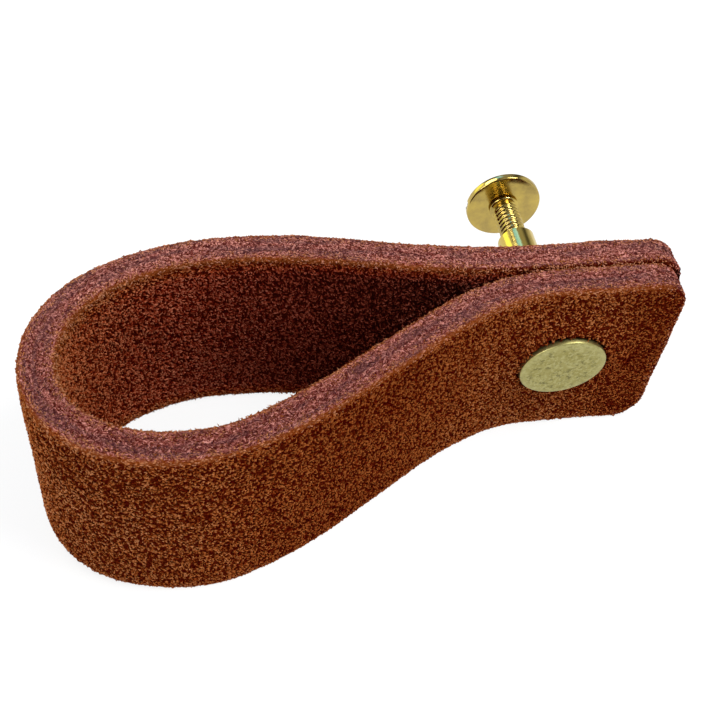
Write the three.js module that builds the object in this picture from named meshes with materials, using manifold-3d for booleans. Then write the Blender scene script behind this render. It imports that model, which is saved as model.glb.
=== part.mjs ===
// Leather strap pull for a drawer or a cupboard door. Millimetres, +Z up.
//
// One strip of thick leather, rough on both sides, is folded back on itself into a finger loop.
// Its two legs lie together at the open end, where a brass post with a flat head passes through
// both of them. A brass screw enters the post from behind the panel and clamps the pull to it.
//
// The pull stands on one long edge of the strip. X runs along the legs, with the loop towards -X,
// the panel lies towards +Y, and Z is the width of the strip.

import * as THREE from 'three';
import { mergeVertices } from 'three/addons/utils/BufferGeometryUtils.js';
import Module from 'manifold-3d';

// The strip and its cut edge
const stripWidth = 25;
const stripThickness = 4;
const edgeRound = 0.5;
const endCornerRadius = 4;

// The fold, seen along Z. Lengths along X run from the back leg's end or the loop's outside.
const foldedLength = 77.5;
const legGap = 0.2;             // air between the legs where they lie together
const frontLegSetback = 0.9;    // the front leg's end stops this much short of the back leg's
const loopTipForward = 9.1;     // the loop's outermost point lies this far in front of the leg gap
const backSwell = 4.15;         // how far the inside of the back leg bows out behind the leg gap
const backSwellFromTip = 23.1;
const frontSwell = 19.2;        // how far the inside of the front leg bows out before the leg gap
const frontSwellFromTip = 16.5;

// How full each bend is, as the share of its run that stays close to its end direction
const backLegFullness = 0.4;
const loopFullness = 0.58;
const frontLegFullness = 0.33;

// The post and the screw
const fastenerFromEnd = 14.6;   // from the back leg's end to the fastener's axis
const headDiameter = 10;
const headThickness = 1;
const headRimRound = 0.35;
const headSeatGap = 0.4;        // the head stands this far off the rough leather
const backFlatPastRim = 0.5;    // the back leg is flat until this far past the head's rim
const frontBendUnderRim = 2.6;  // the front leg starts to bend this far inside the head's rim
const barrelDiameter = 5;
const barrelHoleClearance = 0.3;
const barrelChamfer = 0.25;
const threadDiameter = 3.5;
const threadClearance = 0.3;
const tipChamfer = 0.4;
const neckDiameter = 3.1;
const neckLength = 0.8;
const neckFillet = 0.3;         // round in the corner between the neck and the screw's head
const slotWidth = 1.2;
const slotDepth = 0.5;

// How the two pieces meet through the panel
const panelThickness = 20;      // from the back leg to the underside of the screw's head
const threadShowing = 6.6;      // bare screw between the barrel's mouth and the screw's head
const threadEngaged = 3.4;
const boreRunOn = 0.8;          // room left past the tip when the screw is run fully in
const drillPointAngle = THREE.MathUtils.degToRad(31);

// Facets
const cornerSteps = 5;
const roundSteps = 3;
const bendSteps = 20;
const turnSteps = 48;

const halfThickness = stripThickness / 2;
const legOffset = (stripThickness + legGap) / 2;
const stackDepth = 2 * stripThickness + legGap;
const headRadius = headDiameter / 2;
const holeRadius = barrelDiameter / 2 + barrelHoleClearance;
const boreRadius = threadDiameter / 2 + threadClearance;
const screwLength = threadShowing + threadEngaged;
const barrelLength = headSeatGap + stackDepth + panelThickness - threadShowing;
const midWidth = stripWidth / 2;
const fastenerX = -fastenerFromEnd;

const leather = new THREE.MeshStandardMaterial({ color: 0x9c5a34, roughness: 0.95, metalness: 0 });
const satinBrass = new THREE.MeshStandardMaterial({ color: 0xb3a26a, roughness: 0.4, metalness: 1 });
const polishedBrass = new THREE.MeshStandardMaterial({ color: 0xd8ac55, roughness: 0.15, metalness: 1 });

const wasm = await Module();
wasm.setup();

function toSolid(geometry) {
  const bare = geometry.clone();
  bare.deleteAttribute('normal');
  bare.deleteAttribute('uv');
  const merged = mergeVertices(bare, 1e-5);
  return new wasm.Manifold(new wasm.Mesh({
    numProp: 3,
    vertProperties: new Float32Array(merged.attributes.position.array),
    triVerts: new Uint32Array(merged.index.array),
  }));
}

function fromSolid(solid) {
  const mesh = solid.getMesh();
  const geometry = new THREE.BufferGeometry();
  geometry.setAttribute('position', new THREE.BufferAttribute(mesh.vertProperties, 3));
  geometry.setIndex(new THREE.BufferAttribute(mesh.triVerts, 1));
  geometry.computeVertexNormals();
  return geometry;
}

// The middle line of the strip's thickness between the two flat legs: out along the back leg,
// round the loop and in along the front leg. Every join lies square to X or Y, so it is smooth.
function foldCurves() {
  const backFlatEnd = new THREE.Vector2(fastenerX - headRadius - backFlatPastRim, legOffset);
  const backTop = new THREE.Vector2(backSwellFromTip - foldedLength, backSwell + halfThickness);
  const tip = new THREE.Vector2(halfThickness - foldedLength, -loopTipForward);
  const frontTop = new THREE.Vector2(frontSwellFromTip - foldedLength, -frontSwell - halfThickness);
  const frontFlatEnd = new THREE.Vector2(fastenerX - headRadius + frontBendUnderRim, -legOffset);

  const legBend = (from, to, fullness) => {
    const reach = fullness * (to.x - from.x);
    const leave = new THREE.Vector2(from.x + reach, from.y);
    const arrive = new THREE.Vector2(to.x - reach, to.y);
    return new THREE.CubicBezierCurve(from, leave, arrive, to);
  };
  const loopInX = new THREE.Vector2(backTop.x + loopFullness * (tip.x - backTop.x), backTop.y);
  const loopInY = new THREE.Vector2(tip.x, tip.y - loopFullness * (tip.y - backTop.y));
  const loopOutY = new THREE.Vector2(tip.x, tip.y + loopFullness * (frontTop.y - tip.y));
  const loopOutX = new THREE.Vector2(frontTop.x - loopFullness * (frontTop.x - tip.x), frontTop.y);
  return [
    legBend(backFlatEnd, backTop, backLegFullness),
    new THREE.CubicBezierCurve(backTop, loopInX, loopInY, tip),
    new THREE.CubicBezierCurve(tip, loopOutY, loopOutX, frontTop),
    legBend(frontTop, frontFlatEnd, frontLegFullness),
  ];
}

// Stations along the strip. inset is how far the outline has drawn in at one level of the rounded
// edge: slip moves that level along the strip and reach is its half width. Only the corners slip.
function stripStations() {
  const stations = [];
  const straight = (inset) => ({ slip: 0, reach: midWidth - inset });
  const corner = (angle, sign) => (inset) => ({
    slip: sign * (endCornerRadius - (endCornerRadius - inset) * Math.cos(angle)),
    reach: midWidth - endCornerRadius + (endCornerRadius - inset) * Math.sin(angle),
  });
  const backEnd = new THREE.Vector2(0, legOffset);
  const frontEnd = new THREE.Vector2(-frontLegSetback, -legOffset);
  const outward = new THREE.Vector2(-1, 0);
  const homeward = new THREE.Vector2(1, 0);
  for (let i = 0; i <= cornerSteps; i++) {
    const angle = (i / cornerSteps) * Math.PI / 2;
    stations.push({ place: backEnd, along: outward, outline: corner(angle, 1) });
  }
  foldCurves().forEach((curve, index) => {
    for (let i = index === 0 ? 0 : 1; i <= bendSteps; i++) {
      const place = curve.getPoint(i / bendSteps);
      stations.push({ place, along: curve.getTangent(i / bendSteps), outline: straight });
    }
  });
  for (let i = cornerSteps; i >= 0; i--) {
    const angle = (i / cornerSteps) * Math.PI / 2;
    stations.push({ place: frontEnd, along: homeward, outline: corner(angle, -1) });
  }
  return stations;
}

// The cut edge from the inside face to the outside face: a round, a flat and a round
function edgeLevels() {
  const levels = [];
  for (const side of [-1, 1]) {
    for (let i = 0; i <= roundSteps; i++) {
      const turn = (i / roundSteps) * Math.PI / 2;
      const angle = side < 0 ? Math.PI / 2 - turn : turn;
      levels.push({
        height: side * (halfThickness - edgeRound + edgeRound * Math.sin(angle)),
        inset: edgeRound * (1 - Math.cos(angle)),
      });
    }
  }
  return levels;
}

// The strip as one lofted skin, a ring of points at each station and a rounded cap at each end
function stripSkin() {
  const stations = stripStations();
  const levels = edgeLevels();
  const ringSize = 2 * levels.length;
  const positions = [];
  for (const { place, along, outline } of stations) {
    const ring = [];
    for (const { height, inset } of levels) {
      const { slip, reach } = outline(inset);
      const x = place.x + along.x * slip + along.y * height;
      const y = place.y + along.y * slip - along.x * height;
      ring.push([x, y, reach]);
    }
    ring.forEach(([x, y, reach]) => positions.push(x, y, midWidth + reach));
    ring.reverse().forEach(([x, y, reach]) => positions.push(x, y, midWidth - reach));
  }
  const index = [];
  const quad = (a, b, c, d) => index.push(a, b, c, a, c, d);
  for (let s = 0; s < stations.length - 1; s++) {
    const here = s * ringSize;
    const next = here + ringSize;
    for (let i = 0; i < ringSize; i++) {
      const j = (i + 1) % ringSize;
      quad(here + i, here + j, next + j, next + i);
    }
  }
  const last = (stations.length - 1) * ringSize;
  for (let i = 0; i < levels.length - 1; i++) {
    const j = ringSize - 1 - i;
    quad(i, j, j - 1, i + 1);
    quad(last + i, last + i + 1, last + j - 1, last + j);
  }
  const geometry = new THREE.BufferGeometry();
  geometry.setAttribute('position', new THREE.Float32BufferAttribute(positions, 3));
  geometry.setIndex(index);
  return geometry;
}

// One punched hole goes straight through both legs, a loose fit on the post's barrel
function strapGeometry() {
  const punch = new THREE.CylinderGeometry(holeRadius, holeRadius, 2 * stackDepth, turnSteps);
  punch.translate(fastenerX, 0, midWidth);
  return fromSolid(toSolid(stripSkin()).subtract(toSolid(punch)));
}

// The corner between the screw's neck and the underside of its head, towards the head
function neckCorner() {
  const outer = neckDiameter / 2 + neckFillet;
  const points = [];
  for (let i = 0; i <= roundSteps; i++) {
    const angle = (i / roundSteps) * Math.PI / 2;
    const radius = outer - neckFillet * Math.cos(angle);
    points.push(new THREE.Vector2(radius, neckFillet * (Math.sin(angle) - 1)));
  }
  return points;
}

// A flat head's rounded rim, from its underside out and up to its outer face
function headRim(up) {
  const points = [];
  for (let i = 0; i <= 2 * roundSteps; i++) {
    const angle = (i / roundSteps - 1) * Math.PI / 2;
    const centreHeight = angle < 0 ? headRimRound : headThickness - headRimRound;
    const radius = headRadius - headRimRound + headRimRound * Math.cos(angle);
    points.push(new THREE.Vector2(radius, up * (centreHeight + headRimRound * Math.sin(angle))));
  }
  return points;
}

// The female post. Its underside is at y = 0, its head lies towards -Y and its barrel towards +Y.
function postGeometry() {
  const barrelRadius = barrelDiameter / 2;
  const boreEnd = barrelLength - screwLength - boreRunOn;
  const profile = [
    new THREE.Vector2(0, -headThickness),
    ...headRim(-1).reverse(),
    new THREE.Vector2(barrelRadius, 0),
    new THREE.Vector2(barrelRadius, barrelLength - barrelChamfer),
    new THREE.Vector2(barrelRadius - barrelChamfer, barrelLength),
    new THREE.Vector2(boreRadius, barrelLength),
    new THREE.Vector2(boreRadius, boreEnd),
    new THREE.Vector2(0, boreEnd - boreRadius * Math.tan(drillPointAngle)),
  ];
  return new THREE.LatheGeometry(profile, turnSteps);
}

// The screw. Its underside is at y = 0, its head lies towards +Y and its shank towards -Y.
function screwGeometry() {
  const threadRadius = threadDiameter / 2;
  const profile = [
    new THREE.Vector2(0, -screwLength),
    new THREE.Vector2(threadRadius - tipChamfer, -screwLength),
    new THREE.Vector2(threadRadius, -screwLength + tipChamfer),
    new THREE.Vector2(threadRadius, -neckLength),
    new THREE.Vector2(neckDiameter / 2, -neckLength),
    ...neckCorner(),
    ...headRim(1),
    new THREE.Vector2(0, headThickness),
  ];
  const slot = new THREE.BoxGeometry(headDiameter * 2, slotDepth * 2, slotWidth);
  slot.translate(0, headThickness, 0);
  return fromSolid(toSolid(new THREE.LatheGeometry(profile, turnSteps)).subtract(toSolid(slot)));
}

const strap = new THREE.Mesh(strapGeometry(), leather);
strap.name = 'strap';

const post = new THREE.Mesh(postGeometry(), satinBrass);
post.name = 'post';
post.position.set(fastenerX, -stackDepth / 2 - headSeatGap, midWidth);

const screw = new THREE.Mesh(screwGeometry(), polishedBrass);
screw.name = 'screw';
screw.position.set(fastenerX, stackDepth / 2 + panelThickness, midWidth);

// The origin is below the middle of the whole pull, on the surface that it stands on
const pull = new THREE.Group();
pull.add(strap, post, screw);
pull.updateMatrixWorld(true);
const extent = new THREE.Box3().setFromObject(pull, true);
const middle = extent.getCenter(new THREE.Vector3());
pull.position.set(-middle.x, -middle.y, -extent.min.z);

export default pull;
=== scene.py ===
import math

import bpy
import numpy as np
from mathutils import Matrix, Vector, noise


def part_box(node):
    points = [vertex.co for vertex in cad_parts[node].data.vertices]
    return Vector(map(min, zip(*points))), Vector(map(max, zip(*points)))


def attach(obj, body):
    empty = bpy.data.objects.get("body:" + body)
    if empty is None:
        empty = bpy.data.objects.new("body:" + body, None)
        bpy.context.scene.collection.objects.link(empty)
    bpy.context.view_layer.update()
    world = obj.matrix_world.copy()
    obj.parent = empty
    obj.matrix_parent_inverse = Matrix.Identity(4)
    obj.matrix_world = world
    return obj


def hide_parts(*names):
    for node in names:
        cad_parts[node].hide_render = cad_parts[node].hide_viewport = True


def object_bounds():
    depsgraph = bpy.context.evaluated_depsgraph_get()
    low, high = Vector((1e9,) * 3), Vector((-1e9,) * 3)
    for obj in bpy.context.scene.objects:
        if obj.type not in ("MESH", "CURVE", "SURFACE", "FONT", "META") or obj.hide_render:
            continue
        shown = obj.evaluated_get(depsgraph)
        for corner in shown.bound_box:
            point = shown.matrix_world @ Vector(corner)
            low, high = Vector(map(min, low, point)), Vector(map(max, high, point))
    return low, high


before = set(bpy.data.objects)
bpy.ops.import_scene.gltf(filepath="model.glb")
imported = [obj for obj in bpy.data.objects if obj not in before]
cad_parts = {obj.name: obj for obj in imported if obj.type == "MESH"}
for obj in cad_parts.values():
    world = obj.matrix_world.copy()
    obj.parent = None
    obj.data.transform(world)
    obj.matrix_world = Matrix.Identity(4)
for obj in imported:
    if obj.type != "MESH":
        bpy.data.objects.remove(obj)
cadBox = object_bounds()
mm = 0.001
print("frame loaded:", sorted(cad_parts))


# Mesh tools

def toMetres(points):
    return np.asarray(points, float) * mm


def makePiece(name, points, faces, smoothAngle=None):
    mesh = bpy.data.meshes.new(name)
    mesh.from_pydata(toMetres(points).tolist(), [], faces)
    mesh.validate()
    mesh.shade_smooth()
    if smoothAngle is not None:
        mesh.set_sharp_from_angle(angle=math.radians(smoothAngle))
    piece = bpy.data.objects.new(name, mesh)
    bpy.context.scene.collection.objects.link(piece)
    return piece


def addValues(piece, name, kind, values):
    layer = piece.data.attributes.new(name, kind, "POINT")
    field = "vector" if kind == "FLOAT_VECTOR" else "value"
    layer.data.foreach_set(field, np.asarray(values, np.float32).ravel())


def cutAway(piece, cutter):
    cut = piece.modifiers.new("cut", "BOOLEAN")
    cut.operation = "DIFFERENCE"
    cut.solver = "EXACT"
    cut.object = cutter
    bpy.context.view_layer.update()
    result = bpy.data.meshes.new_from_object(
        piece.evaluated_get(bpy.context.evaluated_depsgraph_get()))
    piece.modifiers.clear()
    piece.data = result
    bpy.data.objects.remove(cutter)


# The strip in its own flat coordinates: s along it, w through its thickness, z across its width

strapLow, strapHigh = (np.array(corner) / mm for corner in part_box("strap"))

fold = {
    "thickness": 4.0,
    "legGap": 0.2,
    "frontSetback": 0.9,       # the front leg ends this much short of the back leg
    "tipForward": 9.1,         # loop's outermost point, in front of the gap between the legs
    "backSwell": 4.15,         # inside of the back leg behind the gap
    "backSwellFromTip": 23.1,
    "frontSwellFromTip": 16.5,
    "backFlat": 20.1,          # straight length of each leg, from the back leg's end
    "frontFlat": 17.0,
    "backLegFullness": 0.4,
    "loopFullness": 0.58,
    "frontLegFullness": 0.33,
    "cornerRadius": 4.0,
    "edgeRound": 0.5,
}
halfThick = fold["thickness"] / 2
width = strapHigh[2] - strapLow[2]
gapPlaneY = strapHigh[1] - fold["thickness"] - fold["backSwell"]


def bezier(p0, p1, p2, p3, steps=400):
    u = np.linspace(0, 1, steps)[1:, None]
    return (1 - u)**3 * p0 + 3 * (1 - u)**2 * u * p1 + 3 * (1 - u) * u**2 * p2 + u**3 * p3


def foldLine():
    endX, tipX = strapHigh[0], strapLow[0] + halfThick
    legY = (fold["thickness"] + fold["legGap"]) / 2
    backEnd = np.array([endX, gapPlaneY + legY])
    backFlat = np.array([endX - fold["backFlat"], gapPlaneY + legY])
    backTop = np.array([strapLow[0] + fold["backSwellFromTip"], strapHigh[1] - halfThick])
    tip = np.array([tipX, gapPlaneY - fold["tipForward"]])
    frontTop = np.array([strapLow[0] + fold["frontSwellFromTip"], strapLow[1] + halfThick])
    frontFlat = np.array([endX - fold["frontFlat"], gapPlaneY - legY])
    frontEnd = np.array([endX - fold["frontSetback"], gapPlaneY - legY])

    def legBend(start, end, fullness):
        reach = np.array([fullness * (end[0] - start[0]), 0])
        return bezier(start, start + reach, end - reach, end)

    full = fold["loopFullness"]
    backHalf = bezier(backTop, backTop + [full * (tip[0] - backTop[0]), 0],
                      tip - [0, full * (tip[1] - backTop[1])], tip)
    frontHalf = bezier(tip, tip + [0, full * (frontTop[1] - tip[1])],
                       frontTop - [full * (frontTop[0] - tip[0]), 0], frontTop)
    return np.concatenate([
        np.linspace(backEnd, backFlat, 100),
        legBend(backFlat, backTop, fold["backLegFullness"]), backHalf, frontHalf,
        legBend(frontTop, frontFlat, fold["frontLegFullness"]),
        np.linspace(frontFlat, frontEnd, 100)[1:]])


linePoints = foldLine()
lineS = np.concatenate([[0], np.cumsum(np.linalg.norm(np.diff(linePoints, axis=0), axis=1))])
stripLength = lineS[-1]
lineAlong = np.gradient(linePoints, lineS, axis=0)
lineAlong /= np.linalg.norm(lineAlong, axis=1)[:, None]


def alongLine(s):
    place = np.stack([np.interp(s, lineS, linePoints[:, i]) for i in (0, 1)], -1)
    along = np.stack([np.interp(s, lineS, lineAlong[:, i]) for i in (0, 1)], -1)
    along /= np.linalg.norm(along, axis=-1, keepdims=True)
    out = np.stack([along[..., 1], -along[..., 0]], -1)
    return place, along, out


def toSpace(strip):
    place, _, out = alongLine(strip[..., 0])
    flat = place + out * strip[..., 1:2]
    return np.concatenate([flat, strip[..., 2:3]], -1)


def toDirection(s, vector):
    _, along, out = alongLine(s)
    flat = along * vector[..., 0:1] + out * vector[..., 1:2]
    return np.concatenate([flat, vector[..., 2:3]], -1)


def smoothNoise(points, scale, seed):
    shift = Vector((seed * 17.3, seed * 5.1, seed * 11.7))
    return np.array([noise.noise(Vector(p) / scale + shift) for p in points])


# The strap: a fine skin over the CAD strap's form, with the rough relief of the leather

postLow, postHigh = (np.array(corner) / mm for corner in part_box("post"))
screwLow, screwHigh = (np.array(corner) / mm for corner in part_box("screw"))
axisX = (postLow[0] + postHigh[0]) / 2
axisZ = (postLow[2] + postHigh[2]) / 2
headRadius = (postHigh[0] - postLow[0]) / 2

strap = {
    "step": 0.40,              # spacing of the skin's points along the strip and across it
    "cornerSteps": 12,
    "roundSteps": 3,
    "edgeSteps": 7,
    "tuftRelief": 0.07,
    "tuftSize": 0.85,
    "edgeTufts": 0.4,          # share of the tuft relief that the cut edge keeps
    "edgeBlend": 0.45,
    "swellRelief": 0.14,
    "swellSize": 7.0,
    "edgeRelief": 0.08,
    "edgeStreak": (2.6, 0.5, 2.6),
    "bulge": 0.95,             # how far the leather swells up round the clamped head
    "bulgeReach": 5.5,
    "bulgeRise": 0.25,
    "rimRadius": 5.52,         # the cleft round the head's rim
    "rimLift": 0.24,
    "rimLean": 0.11,           # the swell follows the lean of the head
    "underHead": -0.08,        # level of the leather under the head
    "holeRadius": 2.8,
    "holeSteps": 6,
}


def fromHead(place):
    away = place[:, [0, 2]] - (axisX, axisZ + strap["rimLift"])
    return away, np.hypot(*away.T)


def liftAt(strip):
    blend, kept = strap["edgeBlend"], strap["edgeTufts"]
    faceShare = np.clip((np.abs(strip[:, 1]) - halfThick + blend) / blend, 0, 1)
    tuft = smoothNoise(strip, strap["tuftSize"], 1) + 0.5 * smoothNoise(strip, strap["tuftSize"] / 2, 2)
    swell = smoothNoise(strip, strap["swellSize"], 3)
    streak = smoothNoise(strip / strap["edgeStreak"], 1, 4)
    lift = tuft * strap["tuftRelief"] * (kept + (1 - kept) * faceShare) + swell * strap["swellRelief"]
    lift += streak * strap["edgeRelief"] * (1 - faceShare)
    away, fromAxis = fromHead(toSpace(strip))
    pastRim = fromAxis - strap["rimRadius"]
    rise = np.clip(pastRim / strap["bulgeRise"], 0, 1)
    fall = np.clip(1 - pastRim / strap["bulgeReach"], 0, 1) ** 2
    height = strap["bulge"] + strap["rimLean"] * np.clip(away[:, 1], -headRadius, headRadius)
    front = (strip[:, 1] > 0) & (strip[:, 0] > stripLength / 2)
    swollen = lift + np.where(front, rise * fall * height * faceShare, 0)
    return np.where(front & (pastRim < 0.01), strap["underHead"], swollen)


def edgeLevels():
    turn = np.linspace(0, math.pi / 2, strap["roundSteps"] + 1)
    r = fold["edgeRound"]
    low = [(-(halfThick - r + r * math.cos(a)), r - r * math.sin(a)) for a in turn]
    flat = np.linspace(-(halfThick - r), halfThick - r, strap["edgeSteps"] + 1)[1:-1]
    return np.array(low + [(w, 0) for w in flat] + [(-w, e) for w, e in reversed(low)])


def punchHoles(points, outerSheet, innerSheet):
    place = toSpace(points)
    away = place[..., [0, 2]] - (axisX, axisZ)
    grid = away[outerSheet]
    middle = (grid[:-1, :-1] + grid[1:, :-1] + grid[1:, 1:] + grid[:-1, 1:]) / 4
    punched = np.hypot(middle[..., 0], middle[..., 1]) < strap["holeRadius"]
    rows, columns = punched.shape
    walls, levels = [], {}
    points = points.tolist()
    heights = np.linspace(halfThick, -halfThick, strap["holeSteps"] + 1)

    def wallPoints(r, c):
        if (r, c) not in levels:
            top, bottom = int(outerSheet[r, c]), int(innerSheet[r, c])
            dx, dz = grid[r, c]
            scale = strap["holeRadius"] / math.hypot(dx, dz)
            sense = 1 if points[top][0] > stripLength / 2 else -1
            s, z = points[top][0] + sense * dx * (scale - 1), points[top][2] + dz * (scale - 1)
            points[top][0], points[top][2] = s, z
            points[bottom][0], points[bottom][2] = s, z
            ids = list(range(len(points), len(points) + len(heights) - 2))
            points.extend([s, w, z] for w in heights[1:-1])
            levels[r, c] = [top, *ids, bottom]
        return levels[r, c]

    for r, c in zip(*np.nonzero(punched)):
        around = (((r, c), (r + 1, c), punched[r, c - 1]), ((r + 1, c), (r + 1, c + 1), punched[r + 1, c]),
                  ((r + 1, c + 1), (r, c + 1), punched[r, c + 1]), ((r, c + 1), (r, c), punched[r - 1, c]))
        for start, end, isOpen in around:
            if not isOpen:
                a, b = wallPoints(*start), wallPoints(*end)
                walls += [(a[k], b[k], b[k + 1], a[k + 1]) for k in range(len(a) - 1)]
    return punched, np.array(points), walls


def buildStrapSkin():
    levels = edgeLevels()[::-1]                # from the outside face to the inside face
    corner, mid = fold["cornerRadius"], width / 2
    turn = np.linspace(0, math.pi / 2, strap["cornerSteps"] + 1)
    count = round((stripLength - 2 * corner) / strap["step"])
    between = np.linspace(corner, stripLength - corner, count + 1)[1:-1]
    across = round((width - 2 * fold["edgeRound"]) / strap["step"])
    share = np.linspace(1, -1, across + 1)

    def station(kind, value, inset):
        if kind == "between":
            return value, mid - inset
        slip = corner - (corner - inset) * math.cos(value)
        reach = mid - corner + (corner - inset) * math.sin(value)
        return (slip if kind == "start" else stripLength - slip), reach

    stations = [("start", a) for a in turn] + [("between", s) for s in between]
    stations += [("end", a) for a in turn[::-1]]
    rings = []
    for kind, value in stations:
        s, reach = station(kind, value, fold["edgeRound"])
        outer = [(s, halfThick, mid + reach * c) for c in share]
        inner = [(s, -halfThick, mid + reach * c) for c in share[::-1]]
        side = [(station(kind, value, e), w) for w, e in levels[1:-1]]
        lower = [(s, w, mid - reach) for (s, reach), w in side]
        upper = [(s, w, mid + reach) for (s, reach), w in side[::-1]]
        rings.append(outer + lower + inner + upper)
    points = [p for ring in rings for p in ring]
    ringSize, columns, inside = len(rings[0]), across + 1, len(levels) - 2

    points = np.array(points)
    outerSheet = np.arange(len(rings))[:, None] * ringSize + np.arange(columns)
    innerSheet = outerSheet + 2 * (columns - 1 - np.arange(columns)) + inside + 1
    punched, points, wall = punchHoles(points, outerSheet, innerSheet)
    ring = np.arange(ringSize)
    here = np.arange(len(rings) - 1)[:, None] * ringSize
    after = np.roll(ring, -1)
    quads = np.stack([here + ring, here + ringSize + ring, here + ringSize + after, here + after], -1)
    kept = np.ones(quads.shape[:2], bool)
    kept[:, :columns - 1] &= ~punched
    kept[:, columns + inside:2 * columns + inside - 1] &= ~punched[:, ::-1]
    faces = quads[kept].tolist() + wall
    points = points.tolist()

    # Each end cap is a grid of the edge's levels by the columns across the width
    for first, kind in ((0, "start"), ((len(rings) - 1) * ringSize, "end")):
        grid = np.zeros((len(levels), columns), int)
        grid[0] = first + np.arange(columns)
        grid[-1] = first + columns + inside + np.arange(columns)[::-1]
        grid[1:-1, -1] = first + columns + np.arange(inside)
        grid[1:-1, 0] = first + 2 * columns + inside + np.arange(inside)[::-1]
        for row, (w, inset) in enumerate(levels[1:-1], 1):
            s, reach = station(kind, 0, inset)
            grid[row, 1:-1] = len(points) + np.arange(columns - 2)
            points += [(s, w, mid + reach * c) for c in share[1:-1]]
        a, b, c, d = grid[:-1, :-1], grid[:-1, 1:], grid[1:, 1:], grid[1:, :-1]
        order = (a, b, c, d) if kind == "start" else (d, c, b, a)
        faces += np.stack(order, -1).reshape(-1, 4).tolist()
    return np.array(points), [face[::-1] for face in faces]    # s, w and z make a left-handed frame


def roughen(piece, strip):
    normals = np.zeros(len(strip) * 3, np.float32)
    piece.data.vertices.foreach_get("normal", normals)
    place = toSpace(strip)
    away, fromAxis = fromHead(place)
    atRim = (strip[:, 0] > stripLength / 2) & (np.abs(fromAxis - strap["rimRadius"]) < strap["step"] / 2)
    pull = np.where(atRim, strap["rimRadius"] / np.maximum(fromAxis, 1e-6) - 1, 0)
    place[:, 0] += away[:, 0] * pull       # a ring of points lies on the rim's cleft
    place[:, 2] += away[:, 1] * pull
    lift = np.where(atRim & (strip[:, 1] > 0), strap["underHead"], liftAt(strip))
    moved = place + normals.reshape(-1, 3) * lift[:, None]
    moved[:, 2] = np.clip(moved[:, 2], 0.0, None)
    piece.data.vertices.foreach_set("co", toMetres(moved).ravel())
    piece.data.update()


def makeStrap():
    strip, faces = buildStrapSkin()
    piece = makePiece("suede_strap", toSpace(strip), faces)
    addValues(piece, "strip", "FLOAT_VECTOR", strip)
    addValues(piece, "shade", "FLOAT", throatShade(strip))
    addValues(piece, "core", "FLOAT", coreShare(strip))
    roughen(piece, strip)
    return piece


# Nap: short spindle-shaped tufts that lie on the leather, pointed at both ends

nap = {
    "pitch": 0.283,            # spacing of the tufts on the leather's faces
    "jitter": 0.42,
    "length": (0.42, 0.92),
    "radius": (0.072, 0.122),
    "hump": (0.03, 0.15),      # how far a tuft's middle stands off the leather
    "tipRise": (-0.12, 0.01),
    "sunk": 0.06,
    "curl": 0.28,
    "drift": 0.5,              # how far the lie of the nap wanders, in radians
    "scatter": 0.75,
    "driftSize": 7.0,
    "rootMargin": 0.42,        # tufts start and end this far inside the strip's outline
    "tipMargin": 0.5,
    "rimClear": 0.12,          # and this far outside the head's rim and the holes
    "holeClear": 0.45,
    "lowBand": 1.6,            # tufts lie flatter beside the cut edge
    "lowest": 0.1,
    "loopMargin": 1.5,         # the inside is bare up to this far past the legs' straight lengths
    "mapCells": 182,           # tufts along one side of the nap's colour map
}

edgeFuzz = {
    "count": 33000,
    "length": (0.3, 0.72),
    "radius": (0.055, 0.10),
    "hump": (0.0, 0.06),
    "curl": 0.14,
    "fringeShare": 0.42,       # tufts along the strip's four arrises
    "fringeSpread": 0.55,
    "hangShare": 0.6,          # inner arris tufts that hang over the inside face
    "swirl": 0.9,              # how far a tuft's lie strays from the edge's own, in radians
    "fringeSwirl": 0.35,       # share of it in the fringe, which lies along the arris
    "hangSwirl": 0.7,
    "tipClear": 0.35,          # tips stay this far inside the outline
    "fringeTint": 0.30,        # how much of the cut edge's colour the fringe has
    "sideTint": 0.45,
    "tintSpread": 0.15,
    "fringeHump": 0.4,
}


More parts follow.
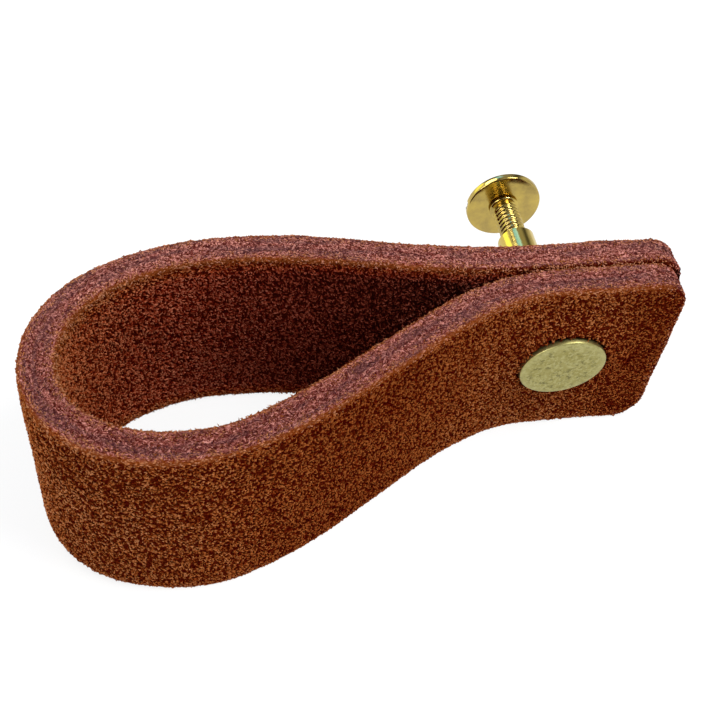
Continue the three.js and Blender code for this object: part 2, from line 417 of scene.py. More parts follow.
def growTufts(name, rng, strip, normal, along, length, radius, tint, hump, curls):
    count = len(strip)
    up = toDirection(strip[:, 0], normal)
    up /= np.linalg.norm(up, axis=1)[:, None]
    lean = toDirection(strip[:, 0], along)
    lean -= up * (lean * up).sum(1)[:, None]
    lean /= np.linalg.norm(lean, axis=1)[:, None]
    side = np.cross(up, lean)
    halfway = strip + along * (length * 0.6)[:, None]
    rootLift, midLift = liftAt(strip), liftAt(halfway)
    midLift = np.where(np.abs(midLift - rootLift) < 0.3, midLift, rootLift)
    root = toSpace(strip) + up * (rootLift - nap["sunk"])[:, None]
    tipRise = rng.uniform(*nap["tipRise"], count)
    curl = rng.uniform(-1.7, 1.7, (2, count)) * curls * length
    climb = midLift - rootLift + nap["sunk"]
    middle = root + lean * (length * 0.5)[:, None] + up * (hump + climb)[:, None] + side * curl[0][:, None]
    tip = root + lean * length[:, None] + up * (tipRise + climb)[:, None] + side * curl[1][:, None]
    ahead = tip - root
    ahead /= np.linalg.norm(ahead, axis=1)[:, None]
    over = np.cross(ahead, side)
    over /= np.linalg.norm(over, axis=1)[:, None]
    across = np.cross(over, ahead)
    spin = rng.uniform(0, 2 * math.pi, count)
    belt = []
    for corner in range(3):
        a = spin + corner * 2 * math.pi / 3
        belt.append(middle + (across * np.cos(a)[:, None] + over * np.sin(a)[:, None]) * radius[:, None])
    points = np.stack([root, *belt, tip], 1)
    points[..., 2] = np.clip(points[..., 2], 0.01, None)
    pattern = np.array([(2, 1, 0), (3, 2, 0), (1, 3, 0), (1, 2, 4), (2, 3, 4), (3, 1, 4)])
    faces = (np.arange(count)[:, None, None] * 5 + pattern).reshape(-1, 3)
    piece = makePiece(name, points.reshape(-1, 3), faces.tolist())
    addValues(piece, "tint", "FLOAT", np.repeat(tint, 5))
    addValues(piece, "shade", "FLOAT", np.repeat(throatShade(strip), 5))
    addValues(piece, "core", "FLOAT", np.repeat(coreShare(strip), 5))
    addValues(piece, "tuft", "FLOAT", np.repeat(rng.random(count), 5))
    addValues(piece, "tipward", "FLOAT", np.tile([0, 0.5, 0.5, 0.5, 1], count))

    # Each tuft has a cell of its own in the map, with its six faces side by side
    rows = (0.15, 0.45, 0.75)
    rootward = [[(0.5, v + 0.1), (0.5, v - 0.1), (0.05, v)] for v in rows]
    corners = np.array(rootward + [[(0.55, v - 0.1), (0.55, v + 0.1), (0.95, v)] for v in rows])
    cells = nap["mapCells"]
    cell = np.stack([np.arange(count) % cells, np.arange(count) // cells], -1)
    spread = (corners[None] + cell[:, None, None]) / cells
    layer = piece.data.uv_layers.new(name="OFBake")
    layer.data.foreach_set("uv", spread.astype(np.float32).ravel())
    return piece


# Painted shade: the inside of the loop is darkened in its colour towards the throat, where little light
# reaches
throat = {
    "atTip": 0.15,             # shade inside the loop's tip, from 0 to 1 at the throat
    "edgeFade": 2.5,           # the shade fades out this near the cut edges
}

core = {
    "wander": 1.1,             # how far the dark line strays from the middle of the cut edge
    "wanderSize": 12,
    "gapSize": 8,
    "lineWidth": 0.32,
    "streakSize": (4.5, 0.42, 4.5),
    "streaks": 2.2,
    "outward": 0.22,           # the cut edge is darker towards the outside
}


# Painted shade mask: it grows from the loop's tip to the throat, on the inside, and fades out near the cut
# edges
def throatShade(strip):
    fromTip = np.abs(strip[:, 0] - stripLength / 2) / (stripLength / 2 - fold["backFlat"])
    inner = np.clip(0.5 - strip[:, 1] / fold["thickness"], 0, 1)
    fromEdge = np.clip(np.minimum(strip[:, 2], width - strip[:, 2]) / throat["edgeFade"], 0, 1)
    return np.clip(throat["atTip"] + (1 - throat["atTip"]) * fromTip, 0, 1) * inner * fromEdge


def coreShare(strip):
    flat = strip * (1, 0, 1)
    wander = smoothNoise(flat, core["wanderSize"], 6) * core["wander"]
    broken = np.clip((smoothNoise(flat, core["gapSize"], 7) + 0.25) / 0.4, 0, 1)
    line = np.clip(1.25 - np.abs(strip[:, 1] - wander) / core["lineWidth"], 0, 1) * broken
    streaks = np.clip(smoothNoise(strip / core["streakSize"], 1, 8) - 0.02, 0, 0.35) * core["streaks"]
    outward = core["outward"] * np.clip(strip[:, 1] / halfThick, 0, 1)
    return np.clip(np.maximum(line, streaks) + outward, 0, 1)


def insideOutline(s, z, margin):
    corner = fold["cornerRadius"]
    near = np.minimum(s, stripLength - s)
    down = np.minimum(z, width - z)
    inCorner = (near < corner) & (down < corner)
    fromCentre = np.hypot(corner - near, corner - down)
    return (near > margin) & (down > margin) & ~(inCorner & (fromCentre > corner - margin))


def makeSideNap(name, seed, side, stretch):
    rng = np.random.default_rng(seed)
    pitch = nap["pitch"]
    s, z = np.meshgrid(np.arange(stretch[0], stretch[1], pitch), np.arange(pitch / 2, width, pitch))
    s, z = (grid.ravel() + rng.uniform(-1, 1, grid.size) * nap["jitter"] * pitch for grid in (s, z))
    strip = np.stack([s, np.full(s.size, side * halfThick), z], -1)
    _, fromAxis = fromHead(toSpace(strip))
    rimReach, holeReach = strap["rimRadius"] + nap["rimClear"], strap["holeRadius"] + nap["holeClear"]
    clear = np.where(s > stripLength / 2, rimReach, holeReach)
    strip = strip[insideOutline(s, z, nap["rootMargin"]) & (fromAxis > clear)]
    count = len(strip)
    swirl = smoothNoise(strip, nap["driftSize"], 5) * 2 * nap["drift"] + rng.normal(0, nap["scatter"], count)
    if side < 0:
        swirl += throatShade(strip) * math.pi / 2      # the nap lies across the strip in the throat
    swirl += np.where(rng.random(count) < 0.5, math.pi, 0)
    along = np.stack([np.cos(swirl), np.zeros(count), np.sin(swirl)], -1)
    normal = np.tile([0.0, side, 0.0], (count, 1))
    length, radius = rng.uniform(*nap["length"], count), rng.uniform(*nap["radius"], count)
    tips = strip + along * length[:, None]
    along = np.where(insideOutline(tips[:, 0], tips[:, 2], nap["tipMargin"])[:, None], along, -along)
    fromEdge = np.minimum(strip[:, 2], width - strip[:, 2])
    hump = rng.uniform(*nap["hump"], count) * np.clip(fromEdge / nap["lowBand"], nap["lowest"], 1)
    return growTufts(name, rng, strip, normal, along, length, radius, np.zeros(count), hump, nap["curl"])


def makeEdgeNap(name, seed):
    rng = np.random.default_rng(seed)
    count = edgeFuzz["count"]
    corner, mid = fold["cornerRadius"], width / 2

    # Walk round the flat strip's outline: long side, corner, end, corner, and the same again
    run = stripLength - 2 * corner, math.pi * corner / 2, width - 2 * corner, math.pi * corner / 2
    travel = rng.uniform(0, 2 * sum(run), count)
    s, z, outS, outZ = (np.zeros(count) for _ in range(4))
    start = 0.0
    for sign in (1, -1):
        for leg, length in enumerate(run):
            here = (travel >= start) & (travel < start + length)
            u = travel[here] - start
            if leg in (0, 2):
                nx, ny = (0.0 * u, 0.0 * u - 1) if leg == 0 else (0.0 * u + 1, 0.0 * u)
                x = u - run[0] / 2 if leg == 0 else 0 * u + stripLength / 2
                y = 0 * u - mid if leg == 0 else u - run[2] / 2
            else:
                angle = u / corner + (-math.pi / 2 if leg == 1 else 0)
                nx, ny = np.cos(angle), np.sin(angle)
                x = stripLength / 2 - corner + corner * nx
                y = (-1 if leg == 1 else 1) * (mid - corner) + corner * ny
            s[here], z[here] = stripLength / 2 + sign * x, mid + sign * y
            outS[here], outZ[here] = sign * nx, sign * ny
            start += length
    fringe = rng.random(count) < edgeFuzz["fringeShare"]
    side = np.where(rng.random(count) < 0.5, 1.0, -1.0)
    r = fold["edgeRound"]
    beside = rng.normal(0, edgeFuzz["fringeSpread"], count)    # from the arris, over the edge or the face
    turn = np.clip(math.pi / 4 + beside / r, 0, math.pi / 2)
    onFace = np.clip(-beside - r * math.pi / 4, 0, None)
    onEdge = np.clip(beside - r * math.pi / 4, 0, None)
    arris = side * (halfThick - r + r * np.cos(turn) - onEdge)
    w = np.where(fringe, arris, rng.uniform(-1, 1, count) * (halfThick - r))
    inset = np.where(fringe, r * (1 - np.sin(turn)) + onFace, 0.0)
    strip = np.stack([s - outS * inset, w, z - outZ * inset], -1)
    level = np.where(fringe, np.sin(turn), 1.0)
    normal = np.stack([outS * level, np.where(fringe, side * np.cos(turn), 0.0), outZ * level], -1)
    length = rng.uniform(*edgeFuzz["length"], count)
    radius = rng.uniform(*edgeFuzz["radius"], count)
    swirl = rng.normal(0, edgeFuzz["swirl"], count) * np.where(fringe, edgeFuzz["fringeSwirl"], 1)
    swirl += np.where(rng.random(count) < 0.5, math.pi, 0)
    past = np.abs(w + np.sin(swirl) * length) > halfThick - edgeFuzz["tipClear"]
    swirl = np.where(past, -swirl, swirl)
    hanging = fringe & (side < 0) & (rng.random(count) < edgeFuzz["hangShare"])
    swirl = np.where(hanging, rng.normal(-math.pi / 2, edgeFuzz["hangSwirl"], count), swirl)
    along = np.stack([-outZ * np.cos(swirl), np.sin(swirl), outS * np.cos(swirl)], -1)
    edgeTint = 1 - (1 - edgeFuzz["sideTint"]) * np.clip(np.abs(w) - 0.9, 0, 1)
    tint = np.where(fringe, edgeFuzz["fringeTint"], edgeTint) + rng.normal(0, edgeFuzz["tintSpread"], count)
    tint = np.clip(tint, 0, 1)
    hump = rng.uniform(*edgeFuzz["hump"], count) * np.where(fringe, edgeFuzz["fringeHump"], 1)
    return growTufts(name, rng, strip, normal, along, length, radius, tint, hump, edgeFuzz["curl"])


# Post and screw: turned brass, with a real helical thread on the screw

brass = {
    "turnSteps": 96,
    "headSpread": 1.08,
    "headLean": 6.4,           # degrees that the post's head leans out at its top
    "headLift": 0.24,
    "screwSpread": 1.04,
    "rimRound": 0.22,
    "rimSteps": 5,
    "rimBand": 1.0,            # the head's plain flat ends this far inside its rim
    "centreRadius": 0.4,
    "flatSteps": 8,
    "barrelRadius": 2.5,
    "barrelChamfer": 0.25,
    "boreRadius": 2.05,
    "boreDepth": 11.0,
    "drillPoint": 1.2,
    "threadRadius": 1.75,
    "threadDepth": 0.24,
    "threadPitch": 0.7,
    "threadSteps": 12,         # rows to each turn of the thread
    "threadFade": (0.6, 0.4),  # the thread fades out over these lengths, at the tip and at the neck
    "tipTaper": 2.0,
    "neckRadius": 1.55,
    "neckLength": 0.8,
    "collar": (0.42, 0.2, 0.52),    # the ring on the neck: its middle, half its length and its height
    "slotWidth": 1.2,
    "slotDepth": 0.5,
    "headThickness": 1.0,
}
postSeat = postLow[1] + brass["headThickness"]    # underside of the post's head


def revolve(name, heights, radii, steps, smoothAngle):
    radii = np.asarray(radii, float)
    if radii.ndim == 1:
        radii = np.repeat(radii[:, None], steps, 1)
    turn = np.linspace(0, 2 * math.pi, steps, endpoint=False)
    rows = len(heights)
    points = np.stack([axisX + radii * np.cos(turn), np.repeat(np.asarray(heights)[:, None], steps, 1),
                       axisZ + radii * np.sin(turn)], -1).reshape(-1, 3)
    ring = np.arange(steps)
    after = np.roll(ring, -1)
    here = np.arange(rows - 1)[:, None] * steps
    faces = np.stack([here + ring, here + steps + ring, here + steps + after, here + after], -1)
    faces = faces.reshape(-1, 4).tolist()
    first, last = len(points), len(points) + 1
    points = np.concatenate([points, [[axisX, heights[0], axisZ], [axisX, heights[-1], axisZ]]])
    top = (rows - 1) * steps
    faces += [(first, i, j) for i, j in zip(ring.tolist(), after.tolist())]
    faces += [(last, top + j, top + i) for i, j in zip(ring.tolist(), after.tolist())]
    return makePiece(name, points, faces, smoothAngle)


def rim(low, high):
    r = brass["rimRound"]
    turn = np.linspace(-math.pi / 2, math.pi / 2, 2 * brass["rimSteps"] + 1)
    middle = np.where(turn < 0, low + r, high - r)
    return list(zip(middle + r * np.sin(turn), headRadius - r + r * np.cos(turn)))


def flatFace(height):
    radii = np.linspace(brass["centreRadius"], headRadius - brass["rimBand"], brass["flatSteps"])
    return [(height, radius) for radius in radii]


def makePost():
    face, mouth = postLow[1], postHigh[1]
    seat = postSeat
    barrel, chamfer, bore = brass["barrelRadius"], brass["barrelChamfer"], brass["boreRadius"]
    deep = mouth - brass["boreDepth"]
    profile = flatFace(face) + rim(face, seat)
    profile = [(y, r * brass["headSpread"]) for y, r in profile]
    profile += [(seat, barrel + 0.05), (seat + 0.05, barrel), (seat + 0.3, barrel)]
    profile += [(mouth - chamfer - 0.1, barrel), (mouth - chamfer, barrel)]
    profile += [(mouth - 0.02, barrel - chamfer), (mouth, barrel - chamfer - 0.02)]
    profile += [(mouth, bore + 0.05), (mouth - 0.05, bore), (deep, bore)]
    heights, radii = zip(*profile)
    heights, radii = heights + (deep - brass["drillPoint"],), radii + (0.02,)
    piece = revolve("flat_head_post", heights, radii, brass["turnSteps"], 28)
    lean = math.tan(math.radians(brass["headLean"]))
    for vertex in piece.data.vertices:
        if vertex.co.y < (seat + 0.02) * mm:
            vertex.co.y -= (vertex.co.z - axisZ * mm) * lean
            vertex.co.z += brass["headLift"] * mm
    piece.data.update()
    return piece


def makeScrew():
    tip, outside = screwLow[1], screwHigh[1]
    seat = outside - brass["headThickness"]
    major, depth, pitch = brass["threadRadius"], brass["threadDepth"], brass["threadPitch"]
    neckStart = seat - brass["neckLength"]
    rows = int((neckStart - tip) / pitch * brass["threadSteps"])
    heights = np.linspace(tip, neckStart, rows + 1)
    turn = np.linspace(0, 2 * math.pi, brass["turnSteps"], endpoint=False)
    phase = (heights[:, None] / pitch + turn[None] / (2 * math.pi)) % 1.0
    tooth = 0.5 - 0.5 * np.cos(2 * math.pi * phase)
    tooth = np.clip(tooth * 1.25 - 0.05, 0, 1)
    atTip, atNeck = brass["threadFade"]
    fade = np.clip(np.minimum((heights - tip) / atTip, (neckStart - heights) / atNeck), 0, 1)[:, None]
    thread = major - depth + depth * tooth * fade
    thread *= np.clip(0.8 + (heights[:, None] - tip) / brass["tipTaper"], 0, 1)
    neck = brass["neckRadius"]
    head = [(neckStart + 0.06, neck - 0.08), (neckStart + 0.16, neck - 0.08)]
    middle, reach, height = brass["collar"]
    for a in np.linspace(0, math.pi, 9):
        head.append((neckStart + middle - reach * math.cos(a), neck + height * math.sin(a)))
    head += [(seat - 0.1, neck + 0.02), (seat - 0.03, neck + 0.10), (seat, neck + 0.25)]
    flange = [(seat, r) for r in np.linspace(2.2, headRadius - brass["rimBand"], 6)] + rim(seat, outside)
    flange += flatFace(outside)[::-1]
    head += [(y, r * brass["screwSpread"]) for y, r in flange]
    headHeights, headRadii = zip(*head)
    radii = np.concatenate([thread, np.repeat(np.array(headRadii)[:, None], brass["turnSteps"], 1)])
    heights = np.concatenate([heights, headHeights])
    piece = revolve("threaded_screw", heights, radii, brass["turnSteps"], 40)
    half, deep = brass["slotWidth"] / 2, brass["slotDepth"]
    depths = (outside - deep, outside + 2)
    corners = [(axisX + x, y, axisZ + z) for x in (-9, 9) for y in depths for z in (-half, half)]
    sides = [(0, 1, 3, 2), (4, 6, 7, 5), (0, 4, 5, 1), (2, 3, 7, 6), (0, 2, 6, 4), (1, 5, 7, 3)]
    cutAway(piece, makePiece("slot_cutter", corners, sides))
    return piece


# Shader maths: a wrapped socket that adds its own Math nodes

class Sock:
    def __init__(self, finish, socket):
        self.finish = finish
        self.socket = socket

    def join(self, operation, first, second):
        return self.finish.node("ShaderNodeMath", {"operation": operation}, {0: first, 1: second})

    def __add__(self, other):
        return self.join("ADD", self, other)

    def __radd__(self, other):
        return self.join("ADD", other, self)

    def __sub__(self, other):
        return self.join("SUBTRACT", self, other)

    def __rsub__(self, other):
        return self.join("SUBTRACT", other, self)

    def __mul__(self, other):
        return self.join("MULTIPLY", self, other)

    def __rmul__(self, other):
        return self.join("MULTIPLY", other, self)

    def __abs__(self):
        return self.finish.node("ShaderNodeMath", {"operation": "ABSOLUTE"}, {0: self})


class Finish:
    def __init__(self, owner):
        owner.use_nodes = True
        self.material = owner
        self.tree = owner.node_tree
        self.tree.nodes.clear()

    def node(self, kind, settings=None, sockets=None, out=0):
        made = self.tree.nodes.new(kind)
        for key, value in (settings or {}).items():
            if key == "stops":
                self.setStops(made.color_ramp, value)
            else:
                setattr(made, key, value)
        for key, value in (sockets or {}).items():
            if isinstance(value, Sock):
                self.tree.links.new(value.socket, made.inputs[key])
            else:
                made.inputs[key].default_value = value
        return Sock(self, made.outputs[out]) if len(made.outputs) else made

    def setStops(self, ramp, stops):
        while len(ramp.elements) < len(stops):
            ramp.elements.new(1.0)
        for element, (place, colour) in zip(ramp.elements, stops):
            element.position = place
            element.color = (*colour, 1.0)

    def value(self, name, out=2):
        return self.node("ShaderNodeAttribute", {"attribute_name": name}, out=out)

    def step(self, value, low, high):
        return self.node("ShaderNodeMapRange", {"interpolation_type": "SMOOTHSTEP"},
                         {"Value": value, "From Min": low, "From Max": high})

    def noise(self, place, scale, detail=2.0, roughness=0.5, distortion=0.0, out=0):
        return self.node("ShaderNodeTexNoise", {}, {
            "Vector": place, "Scale": scale, "Detail": detail,
            "Roughness": roughness, "Distortion": distortion}, out)

    def axis(self, place, which):
        return self.node("ShaderNodeSeparateXYZ", {}, {0: place}, out=which)

    def place(self, out=3):
        return self.node("ShaderNodeTexCoord", out=out)

    def stretch(self, place, by):
        return self.node("ShaderNodeVectorMath", {"operation": "MULTIPLY"}, {0: place, 1: by})

    def length(self, place):
        return self.node("ShaderNodeVectorMath", {"operation": "LENGTH"}, {0: place}, out=1)

    def warp(self, place, by, amount):
        swing = self.node("ShaderNodeVectorMath", {"operation": "SUBTRACT"}, {0: by, 1: (0.5, 0.5, 0.5)})
        swing = self.node("ShaderNodeVectorMath", {"operation": "SCALE"}, {0: swing, "Scale": amount})
        return self.node("ShaderNodeVectorMath", {"operation": "ADD"}, {0: place, 1: swing})

    def blend(self, share, first, second, how="MIX"):
        settings = {"data_type": "RGBA", "blend_type": how, "clamp_factor": True}
        return self.node("ShaderNodeMix", settings, {0: share, 6: first, 7: second}, out=2)

    def ramp(self, value, *stops):
        return self.node("ShaderNodeValToRGB", {"stops": stops}, {0: value})

    def bump(self, height, distance, strength=1.0):
        sockets = {"Height": height, "Distance": distance * mm, "Strength": strength}
        return self.node("ShaderNodeBump", {}, sockets)

    def end(self, sockets):
        shader = self.node("ShaderNodeBsdfPrincipled", {}, sockets)
        self.node("ShaderNodeOutputMaterial", {}, {"Surface": shader})
        return self.material


suede = {
    "face": ((0.05, (0.042, 0.0008, 0.0004)), (0.25, (0.088, 0.0062, 0.0010)),
             (0.48, (0.168, 0.031, 0.0056)), (0.78, (0.290, 0.082, 0.019)), (1.0, (0.440, 0.180, 0.076))),
    "throatFace": ((0.05, (0.030, 0.0006, 0.0006)), (0.25, (0.086, 0.0040, 0.0024)),
                   (0.48, (0.186, 0.0195, 0.0088)), (0.78, (0.318, 0.058, 0.030)),
                   (1.0, (0.470, 0.150, 0.100))),
    "golden": (1.0, 0.86, 0.60),           # tint of the inside towards the loop's tip
    # the skin's tones from darkest to lightest; its darkest, in the relief's hollows, are partly painted
    # shade
    "cleft": (0.040, 0.0012, 0.0006),
    "deep": (0.080, 0.008, 0.0015),
    "body": (0.150, 0.030, 0.0055),
    "arris": (0.260, 0.075, 0.022),
    "edgeDark": (0.046, 0.0045, 0.0030),
    "edgeBody": (0.188, 0.044, 0.033),
    "edgeLit": (0.560, 0.240, 0.195),
    "core": (0.050, 0.026, 0.032),
    # near-black colour of the painted shade in the throat
    "throat": (0.006, 0.002, 0.0018),
    "tuftScale": 3.1,          # tufts to a millimetre
    "fineTimes": 2.3,          # how much finer the second pattern is
    "fineShare": 0.32,
    "edgeFineShare": 0.4,
    "sway": (0.55, 2.2),       # scale and reach of the slow bends in the patterns
    "grainStretch": (1.0, 1.6, 1.9),
    "fineStretch": (1.5, 2.0, 2.5),
    "edgeStretch": (0.8, 1.6, 0.8),
    "clamped": (32, 23),       # the legs come together between these distances from the strip's ends
    "arrisLift": 0.22,
    "coreShare": 0.6,          # how strongly the dark core colours the skin of the cut edge
    "napCoreShare": 0.55,
    "raggedness": 0.9,         # how far the border between face and edge wanders
    # strength of the painted shade in the throat
    "throatShade": 0.85,
    "spared": 0.7,             # share of the throat's shade that the palest tufts escape
    "roughness": 0.95,
}


def suedeEnd(f, colour, sockets=None):
    shared = {"Roughness": suede["roughness"], "Specular IOR Level": 0.0}
    return f.end({"Base Color": colour, **shared, **(sockets or {})})


# Painted shade: blends a colour towards the near-black throat colour as the shade mask grows; the palest
# tufts are partly spared
def shaded(f, colour, spared=0.0):
    deep = f.step(f.value("shade"), 0.35, 1.05) * (1 - f.step(spared, 0.6, 1.0) * suede["spared"])
    return f.blend(deep * suede["throatShade"], colour, (*suede["throat"], 1))


def suedeFinish():
    f = Finish(bpy.data.materials.new("rough_suede"))
    strip = f.value("strip", out=1)
    scale, reach = suede["sway"]
    nudged = f.warp(strip, f.noise(strip, scale, 2, out=1), reach)
    grain = f.noise(f.stretch(nudged, suede["grainStretch"]), suede["tuftScale"], 3, 0.62, 0.6)
    fine = f.noise(f.stretch(nudged, suede["fineStretch"]), suede["tuftScale"] * suede["fineTimes"], 2, 0.6)
    level = grain * (1 - suede["fineShare"]) + fine * suede["fineShare"]
    along, depth, height = (f.axis(strip, which) for which in (0, 1, 2))

    # The skin is lighter beside the arrises, but not inside where the legs lie together
    low, high = (stripLength / 2 - distance for distance in suede["clamped"])
    clamped = f.step(abs(along - stripLength / 2), low, high)
    hidden = (1 - f.step(depth, 0.0, 1.0)) * clamped
    arris = f.step(abs(height - width / 2), width / 2 - 1.0, width / 2 - 0.3) * (1 - hidden)
    # Painted shade: the skin is darkest where its relief is lowest, the same height that its bump uses; its
    # dark maroon is partly the leather's own colour and partly stands for the shade in the gaps between the
    # tufts
    face = f.ramp(level + arris * suede["arrisLift"], (0.45, suede["cleft"]), (0.56, suede["deep"]),
                  (0.68, suede["body"]), (0.85, suede["arris"]))
    across = f.noise(f.stretch(nudged, suede["edgeStretch"]), suede["tuftScale"], 2, 0.6, 0.4)
    edgeLevel = across * (1 - suede["edgeFineShare"]) + fine * suede["edgeFineShare"]
    edge = f.ramp(edgeLevel, (0.42, suede["edgeDark"]), (0.51, suede["edgeBody"]), (0.62, suede["edgeLit"]))
    edge = f.blend(f.value("core") * suede["coreShare"], edge, (*suede["core"], 1))
    ragged = halfThick - abs(depth) + (grain - 0.5) * suede["raggedness"]
    onEdge = f.step(ragged, 0.12, 0.5)
    colour = f.blend(onEdge, shaded(f, face), edge)
    return suedeEnd(f, colour, {"Normal": f.bump(level, 0.35, 0.9)})


napTone = {
    "paintedTuftLight": 0.35,               # painted light and shade: how much lighter a tuft's raised middle is than its ends
    "clump": 0.38,
    "clumpScale": 1700,
    "patch": 0.20,
    "patchScale": 130,
    "arris": 0.44,
    # painted light: tufts lighter on the inside of the loop
    "inner": 0.14,
    # painted shade: tufts darker towards the throat
    "throat": -0.08,
    "base": -0.095,
    "along": ((-34, 0, -0.19), (0, 20, 0.15), (27, 36, -0.17)),    # from x, to x and the change of tone: painted light and shade along the strap
}

edgeTone = {
    "contrast": 1.15,
    "contrastBack": 22,        # more contrast, and lighter, for each metre towards the back
    "lighterBack": 11,
    "lighterRight": 0.2,
    # painted light and shade: how much lighter an edge tuft's raised middle is than its ends
    "paintedTuftLight": 0.3,
    "clump": 0.75,
    "base": 0.195,
}


def napFinish():
    f = Finish(bpy.data.materials.new("suede_nap"))
    tuft, tipward, tint, shade = (f.value(name) for name in ("tuft", "tipward", "tint", "shade"))
    place = f.place()
    rightward, backward = f.axis(place, 0), f.axis(place, 1)
    patch = f.noise(place, napTone["patchScale"], 3, 0.6) - 0.5
    clump = f.noise(place, napTone["clumpScale"], 2, 0.6, 0.4) - 0.5
    # Painted light and shade: a tuft is lighter in its raised middle, darker at its ends where they meet the
    # leather
    paintedTuftLight = 1 - abs(tipward * 2 - 1.1)
    arris, inner = f.step(tint, 0.0, 0.2), f.step(shade, 0.0, 0.3)
    tone = tuft * (1.5 - tuft * 0.8) + napTone["base"]
    parts = {"paintedTuftLight": paintedTuftLight, "clump": clump, "patch": patch, "arris": arris, "inner": inner, "throat": shade}
    for name, value in parts.items():
        tone = tone + value * napTone[name]
    # Painted light and shade along the strap, from left to right
    for low, high, change in napTone["along"]:
        tone = tone + f.step(rightward, low * mm, high * mm) * change
    face = f.blend(f.step(shade, 0.0, 0.45), f.ramp(tone, *suede["face"]), f.ramp(tone, *suede["throatFace"]))
    golden = inner * (1 - f.step(shade, 0.3, 0.75))
    face = f.blend(golden, face, (*suede["golden"], 1), "MULTIPLY")
    light = (tuft - 0.5) * (edgeTone["contrast"] + backward * edgeTone["contrastBack"]) + edgeTone["base"]
    light = light + paintedTuftLight * edgeTone["paintedTuftLight"] + clump * edgeTone["clump"]
    light = light + rightward * edgeTone["lighterRight"] + backward * edgeTone["lighterBack"]
    edge = f.ramp(light, (0.10, suede["edgeDark"]), (0.48, suede["edgeBody"]), (0.92, suede["edgeLit"]))
    edge = f.blend(f.value("core") * suede["napCoreShare"], edge, (*suede["core"], 1))
    return suedeEnd(f, f.blend(tint, shaded(f, face, tuft), edge))


metal = {
    "satin": (0.290, 0.255, 0.065),
    "satinPit": (0.120, 0.105, 0.024),
    "satinPale": (0.460, 0.425, 0.180),
    "polished": (0.580, 0.430, 0.105),
    "polishedDull": (0.360, 0.265, 0.095),
    "pits": (1500, 4, 0.65),   # scale, detail and roughness of each pattern
    "cloud": (620, 4, 0.65),
    "fleck": (2400, 3, 0.7),
    "dull": (300, 3, 0.6),
    "scuff": (1500, 3, 0.65),
    "pitShare": 0.8,           # how strongly each pattern colours the metal
    "cloudShare": 0.4,
    "fleckShare": 0.7,
    "dullShare": 0.8,
    "paleRimHighlightShare": 0.45,
    "paleRimHighlight": (4.0, 5.4),        # painted highlight: the post's face grows paler from the first radius to the second
    "barrelStart": (1.0, 1.3),  # the polish starts between these distances behind the head
    "satinRoughness": 0.34,
    "barrelRoughness": 0.13,
    "polishedRoughness": 0.12,
}


def satinBrass():
    f = Finish(bpy.data.materials.new("satin_brass"))
    place = f.place()
    pits, cloud, fleck = (f.noise(place, *metal[name]) for name in ("pits", "cloud", "fleck"))
    satin, pit, pale, shiny = ((*metal[name], 1) for name in ("satin", "satinPit", "satinPale", "polished"))
    colour = f.blend(f.step(cloud, 0.35, 0.68) * metal["cloudShare"], satin, pale)
    colour = f.blend(f.step(pits, 0.50, 0.66) * metal["pitShare"], colour, pit)
    colour = f.blend(f.step(fleck, 0.47, 0.62) * metal["fleckShare"], colour, pale)

    # The face grows paler towards its rim, a painted highlight, and the barrel is polished
    centre = (axisX * mm, 0, axisZ * mm)
    away = f.node("ShaderNodeVectorMath", {"operation": "SUBTRACT"}, {0: place, 1: centre})
    low, high = (radius * mm for radius in metal["paleRimHighlight"])
    paleRimHighlight = f.step(f.length(f.stretch(away, (1, 0, 1))), low, high)
    colour = f.blend(paleRimHighlight * metal["paleRimHighlightShare"], colour, pale)
    low, high = ((postSeat + distance) * mm for distance in metal["barrelStart"])
    barrel = f.step(f.axis(place, 1), low, high)
    colour = f.blend(barrel, colour, shiny)
    rough = (metal["satinRoughness"] + cloud * 0.14) * (1 - barrel) + barrel * metal["barrelRoughness"]
    normal = f.bump(pits * 0.6 + cloud * 0.4, 0.05, 0.5)
    return f.end({"Base Color": colour, "Metallic": 1.0, "Roughness": rough, "Normal": normal})


def polishedBrass():
    f = Finish(bpy.data.materials.new("polished_brass"))
    place = f.place()
    dull, scuff = f.noise(place, *metal["dull"]), f.noise(place, *metal["scuff"])
    shiny, pale = (*metal["polished"], 1), (*metal["polishedDull"], 1)
    colour = f.blend(f.step(dull, 0.3, 0.7) * metal["dullShare"], shiny, pale)
    rough = metal["polishedRoughness"] + f.step(dull, 0.4, 0.75) * 0.16
    normal = f.bump(scuff, 0.02, 0.2)
    return f.end({"Base Color": colour, "Metallic": 1.0, "Roughness": rough, "Normal": normal})


def wear(piece, material):
    piece.data.materials.clear()
    piece.data.materials.append(material)
    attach(piece, "root")


suedeMaterial, napMaterial = suedeFinish(), napFinish()
strapPiece = makeStrap()
wear(strapPiece, suedeMaterial)
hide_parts("strap")
print("strap built:", len(strapPiece.data.polygons), "faces")

middleS = stripLength / 2
loopStart = fold["backFlat"] + nap["loopMargin"]
loopEnd = stripLength - fold["frontFlat"] - nap["loopMargin"]
napPieces = (
    makeSideNap("front_nap", 11, 1, (middleS, stripLength)),
    makeSideNap("back_nap", 12, 1, (0, middleS)),
    makeSideNap("inner_back_nap", 13, -1, (loopStart, middleS)),
    makeSideNap("inner_front_nap", 15, -1, (middleS, loopEnd)),
    makeEdgeNap("edge_nap", 14),
)
for piece in napPieces:
    wear(piece, napMaterial)
    print(piece.name, "grown:", len(piece.data.polygons), "faces")

postPiece = makePost()
wear(postPiece, satinBrass())
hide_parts("post")
screwPiece = makeScrew()
wear(screwPiece, polishedBrass())
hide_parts("screw")
print("post and screw turned")


# Stage: pale floor, soft lamps and a pale surround

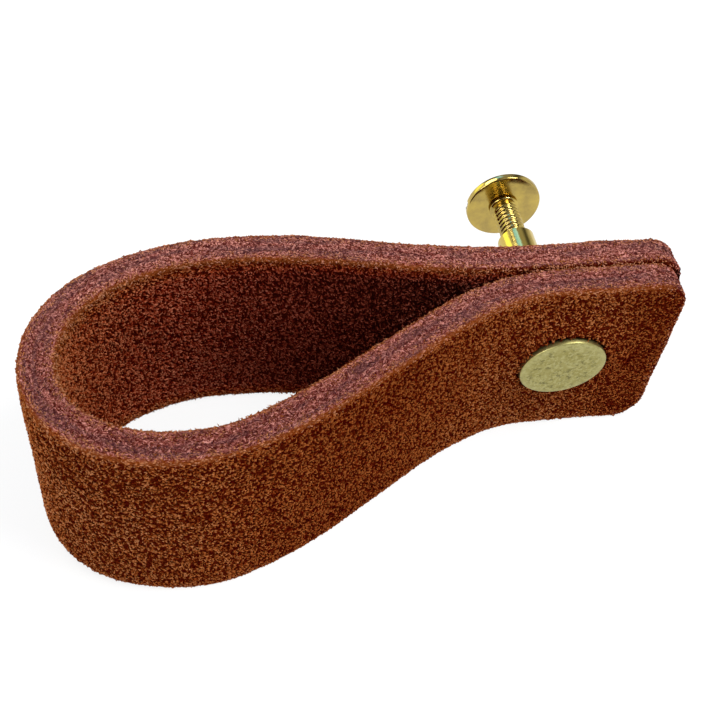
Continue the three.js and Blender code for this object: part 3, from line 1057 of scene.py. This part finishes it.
stage = {
    "floorSize": 6.0,
    "floorColour": (0.86, 0.86, 0.86),
    "floorGlow": 0.80,         # share of plain white that the camera sees in the floor
    "glowRise": (0.10, 0.45),  # it rises to all white between these distances
    "worldStrength": 0.55,
    "aimHeight": 0.012,        # height of the point that the lamps face
    # The surround's brightness in the metal, from left to right
    "mirror": ((0.19, 1.0), (0.26, 0.12), (0.42, 0.12), (0.48, 0.45), (0.68, 0.45), (0.76, 0.10),
               (0.80, 0.10), (0.87, 0.75)),
    "lamps": (                 # place, size, watts and colour
        ((0.30, -0.12, 0.60), 0.30, 4.3, (1, 1, 1)),
        ((-0.30, 0.30, 0.50), 0.35, 1.6, (1, 1, 1)),
        ((-0.50, -0.40, 0.32), 0.45, 2.2, (1, 1, 1)),
        ((-0.04, 0.33, 0.39), 0.17, 0.24, (0.10, 0.34, 1.0)),
        ((-0.35, 0.33, 0.10), 0.26, 0.22, (0.85, 1.0, 0.03)),
    ),
}


def rays(f):
    return (f.node("ShaderNodeLightPath", out=port) for port in (0, 3, 7))    # camera, glossy, through


def larger(f, first, second):
    return f.node("ShaderNodeMath", {"operation": "MAXIMUM"}, {0: first, 1: second})


def makeFloor():
    half = stage["floorSize"] / 2 / mm
    corners = [(-half, -half, 0), (half, -half, 0), (half, half, 0), (-half, half, 0)]
    floor = makePiece("floor", corners, [(0, 1, 2, 3)])
    f = Finish(bpy.data.materials.new("pale_floor"))
    camera, glossy, _ = rays(f)
    diffuse = f.node("ShaderNodeBsdfDiffuse", {}, {"Color": (*stage["floorColour"], 1)})
    glow = f.node("ShaderNodeEmission", {}, {"Color": (1, 1, 1, 1), "Strength": 1.0})
    far = f.step(f.length(f.place()), *stage["glowRise"])
    share = larger(f, camera, glossy) * (stage["floorGlow"] + far * (1 - stage["floorGlow"]))
    both = f.node("ShaderNodeMixShader", {}, {0: share, 1: diffuse, 2: glow})
    f.node("ShaderNodeOutputMaterial", {}, {"Surface": both})
    floor.data.materials.append(f.material)


def makeWorld():
    world = bpy.data.worlds.new("surround")
    bpy.context.scene.world = world
    f = Finish(world)
    camera, glossy, through = rays(f)
    sideways = f.axis(f.place(out=0), 0)       # the ray's direction, from left to right
    mirrored = f.ramp(sideways * 0.5 + 0.5, *((place, (grey,) * 3) for place, grey in stage["mirror"]))
    direct = larger(f, camera, through)
    strength = larger(f, direct, larger(f, glossy * mirrored, stage["worldStrength"] * (1 - glossy)))
    background = f.node("ShaderNodeBackground", {}, {"Color": (1, 1, 1, 1), "Strength": strength})
    f.node("ShaderNodeOutputWorld", {}, {"Surface": background})


def makeLamps():
    low, high = cadBox
    target = Vector(((low[0] + high[0]) / 2, (low[1] + high[1]) / 2, stage["aimHeight"]))
    for index, (place, size, watts, colour) in enumerate(stage["lamps"]):
        data = bpy.data.lights.new(f"lamp_{index}", "AREA")
        data.shape = "DISK"
        data.size = size
        data.energy = watts
        data.color = colour
        lamp = bpy.data.objects.new(f"lamp_{index}", data)
        bpy.context.scene.collection.objects.link(lamp)
        lamp.location = place
        lamp.rotation_euler = (target - Vector(place)).to_track_quat("-Z", "Y").to_euler()


view = {
    "place": (-23.3, -86.3, 114.4),
    "turn": 14.69,             # degrees to the right of +Y
    "down": 49.45,
    "roll": 7.25,
    "lens": 55.27,
    "shift": (0.0093, -0.005),
}


def makeCamera():
    turn, down, roll = (math.radians(view[key]) for key in ("turn", "down", "roll"))
    ahead = Vector((math.sin(turn) * math.cos(down), math.cos(turn) * math.cos(down), -math.sin(down)))
    level = Vector((math.cos(turn), -math.sin(turn), 0))
    upright = level.cross(ahead)
    right = level * math.cos(roll) + upright * math.sin(roll)
    up = upright * math.cos(roll) - level * math.sin(roll)
    data = bpy.data.cameras.new("camera")
    data.lens = view["lens"]
    data.sensor_width = 36
    data.shift_x, data.shift_y = view["shift"]
    data.clip_start = 0.01
    camera = bpy.data.objects.new("camera", data)
    bpy.context.scene.collection.objects.link(camera)
    turned = Matrix((right, up, -ahead)).transposed().to_4x4()
    camera.matrix_world = Matrix.Translation(Vector(view["place"]) * mm) @ turned
    bpy.context.scene.camera = camera


makeFloor()
makeWorld()
makeLamps()
makeCamera()
bpy.context.scene.view_settings.view_transform = "Standard"
print("stage, lamps and camera set")
